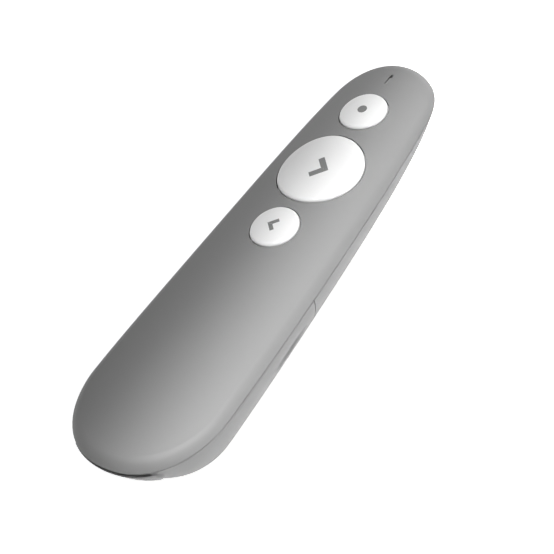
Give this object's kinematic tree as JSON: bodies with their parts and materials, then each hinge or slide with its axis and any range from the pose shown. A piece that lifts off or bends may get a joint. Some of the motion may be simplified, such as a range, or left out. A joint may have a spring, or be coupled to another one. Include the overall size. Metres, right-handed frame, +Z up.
{
  "type": "wireless presentation clicker",
  "caption": "Hand-held wireless presentation clicker with a leaf-shaped casing, round thumb buttons and a sliding battery door.",
  "frame": {"origin": "on the flat of the belly that it rests on, under the middle of its length", "axes": "+Z up out of the button side, +Y towards the nose, +X to the right seen from above with the nose away"},
  "size_m": [0.0398, 0.13, 0.0218],
  "materials": {
    "grey_plastic": "soft satin",
    "white_plastic": "satin",
    "clear_plastic": "polished",
    "brass": "turned",
    "steel": "nickel plated",
    "board_laminate": "solder mask",
    "chip_plastic": "moulded",
    "switch_plastic": "moulded",
    "tray_plastic": "fine texture",
    "cell_jacket": "printed sleeve"
  },
  "bodies": {
    "case": {"top_shell": "grey_plastic", "front_lower_shell": "grey_plastic", "light_guide": "clear_plastic", "laser_window": "clear_plastic", "collimator_lens": "clear_plastic", "laser_barrel": "brass", "laser_diode": "steel", "circuit_board": "board_laminate", "radio_chip": "chip_plastic", "board_chips": "chip_plastic", "crystal": "steel", "status_led": "clear_plastic", "laser_switch": "steel", "next_switch": "steel", "back_switch": "steel", "battery_tray": "tray_plastic", "battery_left": "cell_jacket", "battery_right": "cell_jacket", "front_contact": "steel", "front_spring": "steel", "cell_bridge": "steel", "receiver_cap": "tray_plastic", "receiver_plug": "steel", "receiver_tongue": "chip_plastic", "tray_screws": "steel", "board_screws": "steel"},
    "door": {"battery_door": "grey_plastic"},
    "laser_key": {"laser_button": "white_plastic", "laser_plunger": "switch_plastic"},
    "next_key": {"next_button": "white_plastic", "next_plunger": "switch_plastic"},
    "back_key": {"back_button": "white_plastic", "back_plunger": "switch_plastic"}
  },
  "joints": [
    {"name": "laser_press", "type": "slide", "parent": "case", "child": "laser_key", "axis": [0, 0, -1], "range_m": [0, 0.0005], "stiffness_N_per_m": 1500},
    {"name": "next_press", "type": "slide", "parent": "case", "child": "next_key", "axis": [0, 0, -1], "range_m": [0, 0.0005], "stiffness_N_per_m": 1500},
    {"name": "back_press", "type": "slide", "parent": "case", "child": "back_key", "axis": [0, 0, -1], "range_m": [0, 0.0005], "stiffness_N_per_m": 1500},
    {"name": "door_slide", "type": "slide", "parent": "case", "child": "door", "axis": [0, -1, 0], "range_m": [0, 0.038]}
  ]
}
